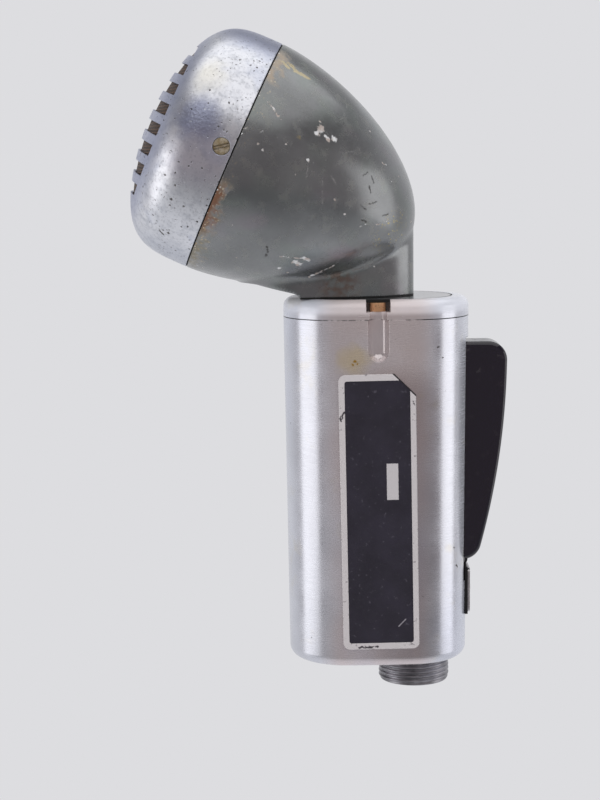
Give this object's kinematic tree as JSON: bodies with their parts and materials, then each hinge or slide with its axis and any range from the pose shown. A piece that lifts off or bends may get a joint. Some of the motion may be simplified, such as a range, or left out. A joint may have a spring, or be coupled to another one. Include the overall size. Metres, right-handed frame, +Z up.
{
  "type": "hand and stand microphone",
  "caption": "Microphone with a tilted bell head, slotted metal grille, cast grip, side talk lever, threaded connector and stand thread.",
  "frame": {"origin": "mouth of the stand thread, on the grip's bottom face", "axes": "+Z up along the grip, +X towards the talk lever, so the head faces -X, and +Y away from the name plate"},
  "size_m": [0.107, 0.0688, 0.1887],
  "materials": {
    "grip_metal": "brushed and polished casting",
    "cap_metal": "polished casting",
    "foot_metal": "dull plate",
    "copper": "worn copper plate",
    "black_rubber": "matte",
    "steel": "zinc plate",
    "bell_paint": "semi-gloss, chipped",
    "ring_metal": "satin, pitted",
    "screen_mesh": "woven screen cloth",
    "brass": "worn",
    "case_metal": "matte",
    "cover_metal": "punched sheet",
    "magnet_iron": "ground",
    "fibre": "laminated fibre",
    "coil_wire": "enamelled copper",
    "plate_print": "etched and filled foil",
    "lever_black": "black enamel, worn",
    "bakelite": "moulded",
    "nylon": "moulded",
    "connector_metal": "worn plating",
    "insert_black": "moulded",
    "wire_jacket": "matte"
  },
  "bodies": {
    "grip": {"grip_body": "grip_metal", "top_cap": "cap_metal", "cap_screws": "copper", "foot_plate": "foot_metal", "plate_seal": "black_rubber", "neck_gasket": "black_rubber", "neck_screws": "steel", "head_shell": "bell_paint", "seam_gasket": "black_rubber", "grille_ring": "ring_metal", "grille_screen": "screen_mesh", "ring_screws": "brass", "capsule_cushion": "black_rubber", "capsule_case": "case_metal", "capsule_cover": "cover_metal", "diaphragm": "cover_metal", "drive_pin": "brass", "armature": "magnet_iron", "magnets": "magnet_iron", "pole_pieces": "magnet_iron", "coil_bobbin": "fibre", "coil_winding": "coil_wire", "capsule_terminals": "brass", "name_plate": "plate_print", "lever_bracket": "lever_black", "bracket_cover": "steel", "lever_pivot": "steel", "lever_spring": "steel", "bracket_screw": "steel", "switch_case": "bakelite", "switch_screws": "steel", "switch_terminals": "brass", "connector_shell": "connector_metal", "connector_nut": "brass", "connector_insert": "insert_black", "connector_contacts": "brass", "lead_wires": "wire_jacket"},
    "lever": {"talk_lever": "lever_black"},
    "plunger": {"switch_plunger": "nylon"}
  },
  "joints": [
    {"name": "lever_press", "type": "hinge", "parent": "grip", "child": "lever", "pos_m": [0.03398, 0, 0.0289], "axis": [0, -1, 0], "range_deg": [0, 4], "stiffness_Nm_per_rad": 1.5, "springref_deg": -8.59},
    {"name": "plunger_slide", "type": "slide", "parent": "grip", "child": "plunger", "axis": [-1, 0, 0], "range_m": [0, 0.0031]}
  ],
  "couplings": [
    {"joint": "plunger_slide", "follows": "lever_press", "m_per_rad": 0.04407}
  ]
}
